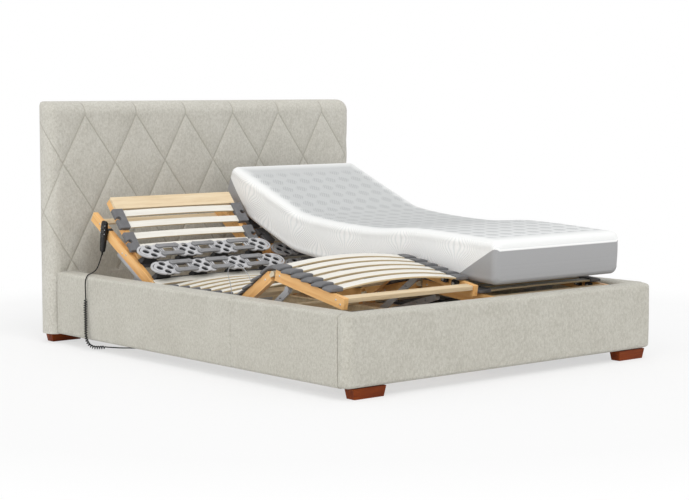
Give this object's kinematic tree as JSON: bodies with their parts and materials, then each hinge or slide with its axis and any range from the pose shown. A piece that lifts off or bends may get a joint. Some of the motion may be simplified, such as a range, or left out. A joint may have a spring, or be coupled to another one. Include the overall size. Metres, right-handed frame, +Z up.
{
  "type": "adjustable bed base",
  "caption": "Upholstered double bed with side-by-side motorised slatted bases, tilting back, pillow, thigh and leg sections, a corded handset and a mattress.",
  "frame": {"origin": "on the floor under the middle of the bed's outer box", "axes": "+Z up, +Y towards the headboard, +X to the right seen from the foot"},
  "size_m": [1.848, 2.28, 1.155],
  "materials": {
    "upholstery": "woven, matt",
    "foot_wood": "stained, glossy",
    "beech": "clear lacquer",
    "slat_wood": "white foil",
    "cap_rubber": "matt",
    "plate_plastic": "matt",
    "carrier_plastic": "matt",
    "steel": "grey powder coat",
    "hinge_plastic": "matt",
    "motor_plastic": "matt",
    "handset_plastic": "satin",
    "key_plastic": "matt",
    "cord_jacket": "satin",
    "mattress_cloth": "knitted"
  },
  "bodies": {
    "bed": {"headboard": "upholstery", "left_side_rail": "upholstery", "right_side_rail": "upholstery", "foot_rail": "upholstery", "feet": "foot_wood", "support_brackets": "steel", "centre_beam": "beech", "base_frames": "beech", "seat_slats": "slat_wood", "seat_caps": "cap_rubber", "seat_hinges": "hinge_plastic", "drive_motors": "motor_plastic", "handset_lead": "cord_jacket", "curly_cord": "cord_jacket", "floor_lead": "cord_jacket", "mattress_seat": "mattress_cloth"},
    "left_back": {"left_back_frame": "beech", "left_back_fittings": "hinge_plastic", "left_spring_plates": "plate_plastic", "left_plate_carriers": "carrier_plastic", "left_lumbar_slat": "slat_wood", "handset": "handset_plastic"},
    "left_pillow": {"left_pillow_frame": "beech", "left_pillow_slats": "slat_wood", "left_pillow_caps": "cap_rubber"},
    "left_thigh": {"left_thigh_frame": "beech", "left_thigh_slats": "slat_wood", "left_thigh_caps": "cap_rubber", "left_thigh_fittings": "hinge_plastic"},
    "left_leg": {"left_leg_frame": "beech", "left_leg_slats": "slat_wood", "left_leg_caps": "cap_rubber", "left_leg_fittings": "hinge_plastic"},
    "left_back_lever": {"left_back_lever": "steel"},
    "left_leg_lever": {"left_leg_lever": "steel"},
    "right_back": {"right_back_frame": "beech", "right_back_fittings": "hinge_plastic", "right_spring_plates": "plate_plastic", "right_plate_carriers": "carrier_plastic", "right_lumbar_slat": "slat_wood", "mattress_back": "mattress_cloth"},
    "right_pillow": {"right_pillow_frame": "beech", "right_pillow_slats": "slat_wood", "right_pillow_caps": "cap_rubber", "mattress_head": "mattress_cloth"},
    "right_thigh": {"right_thigh_frame": "beech", "right_thigh_slats": "slat_wood", "right_thigh_caps": "cap_rubber", "right_thigh_fittings": "hinge_plastic", "mattress_thigh": "mattress_cloth"},
    "right_leg": {"right_leg_frame": "beech", "right_leg_slats": "slat_wood", "right_leg_caps": "cap_rubber", "right_leg_fittings": "hinge_plastic", "mattress_leg": "mattress_cloth"},
    "right_back_lever": {"right_back_lever": "steel"},
    "right_leg_lever": {"right_leg_lever": "steel"},
    "key_1": {"handset_key_1": "key_plastic"},
    "key_2": {"handset_key_2": "key_plastic"},
    "key_3": {"handset_key_3": "key_plastic"}
  },
  "joints": [
    {"name": "left_back_tilt", "type": "hinge", "parent": "bed", "child": "left_back", "pos_m": [-0.4, 0.348, 0.285], "axis": [1, 0, 0], "range_deg": [-31, 29], "deforming": ["handset_lead"]},
    {"name": "left_pillow_tilt", "type": "hinge", "parent": "left_back", "child": "left_pillow", "pos_m": [-0.4, 0.56229, 0.41376], "axis": [1, 0, 0], "range_deg": [-17.4, 7.6]},
    {"name": "left_thigh_tilt", "type": "hinge", "parent": "bed", "child": "left_thigh", "pos_m": [-0.4, -0.252, 0.285], "axis": [-1, 0, 0], "range_deg": [-33, 12]},
    {"name": "left_knee_fold", "type": "hinge", "parent": "left_thigh", "child": "left_leg", "pos_m": [-0.4, -0.50025, 0.44621], "axis": [1, 0, 0], "range_deg": [-43.75, 15.94]},
    {"name": "left_back_lever_turn", "type": "hinge", "parent": "bed", "child": "left_back_lever", "pos_m": [-0.4, 0.4, 0.212], "axis": [1, 0, 0], "range_deg": [-32.29, 30.21]},
    {"name": "left_leg_lever_turn", "type": "hinge", "parent": "bed", "child": "left_leg_lever", "pos_m": [-0.4, -0.35, 0.212], "axis": [-1, 0, 0], "range_deg": [-29.75, 10.85]},
    {"name": "right_back_tilt", "type": "hinge", "parent": "bed", "child": "right_back", "pos_m": [0.4, 0.348, 0.285], "axis": [1, 0, 0], "range_deg": [-31, 29], "deforming": ["mattress_seat", "mattress_back", "mattress_head"]},
    {"name": "right_pillow_tilt", "type": "hinge", "parent": "right_back", "child": "right_pillow", "pos_m": [0.4, 0.56229, 0.41376], "axis": [1, 0, 0], "range_deg": [0, 25], "deforming": ["mattress_back", "mattress_head"]},
    {"name": "right_thigh_tilt", "type": "hinge", "parent": "bed", "child": "right_thigh", "pos_m": [0.4, -0.252, 0.285], "axis": [-1, 0, 0], "range_deg": [-13, 32], "deforming": ["mattress_seat", "mattress_thigh", "mattress_leg"]},
    {"name": "right_knee_fold", "type": "hinge", "parent": "right_thigh", "child": "right_leg", "pos_m": [0.4, -0.54041, 0.35159], "axis": [1, 0, 0], "range_deg": [-18.55, 45.59], "deforming": ["mattress_thigh", "mattress_leg"]},
    {"name": "right_back_lever_turn", "type": "hinge", "parent": "bed", "child": "right_back_lever", "pos_m": [0.4, 0.4, 0.212], "axis": [1, 0, 0], "range_deg": [-32.29, 30.21]},
    {"name": "right_leg_lever_turn", "type": "hinge", "parent": "bed", "child": "right_leg_lever", "pos_m": [0.4, -0.35, 0.212], "axis": [-1, 0, 0], "range_deg": [-10.45, 25.65]},
    {"name": "key_1_rock", "type": "hinge", "parent": "left_back", "child": "key_1", "pos_m": [-0.7985, 0.76001, 0.5673], "axis": [0, -0.1736, 0.9848], "range_deg": [-4, 4], "stiffness_Nm_per_rad": 0.05},
    {"name": "key_2_rock", "type": "hinge", "parent": "left_back", "child": "key_2", "pos_m": [-0.7985, 0.76348, 0.54761], "axis": [0, -0.1736, 0.9848], "range_deg": [-4, 4], "stiffness_Nm_per_rad": 0.05},
    {"name": "key_3_rock", "type": "hinge", "parent": "left_back", "child": "key_3", "pos_m": [-0.7985, 0.76696, 0.52791], "axis": [0, -0.1736, 0.9848], "range_deg": [-4, 4], "stiffness_Nm_per_rad": 0.05}
  ],
  "couplings": [
    {"joint": "left_knee_fold", "follows": "left_thigh_tilt", "ratio": 1.3242},
    {"joint": "left_back_lever_turn", "follows": "left_back_tilt", "ratio": 1.04},
    {"joint": "left_leg_lever_turn", "follows": "left_thigh_tilt", "ratio": 0.9},
    {"joint": "right_knee_fold", "follows": "right_thigh_tilt", "ratio": 1.4231},
    {"joint": "right_back_lever_turn", "follows": "right_back_tilt", "ratio": 1.04},
    {"joint": "right_leg_lever_turn", "follows": "right_thigh_tilt", "ratio": 0.8}
  ]
}
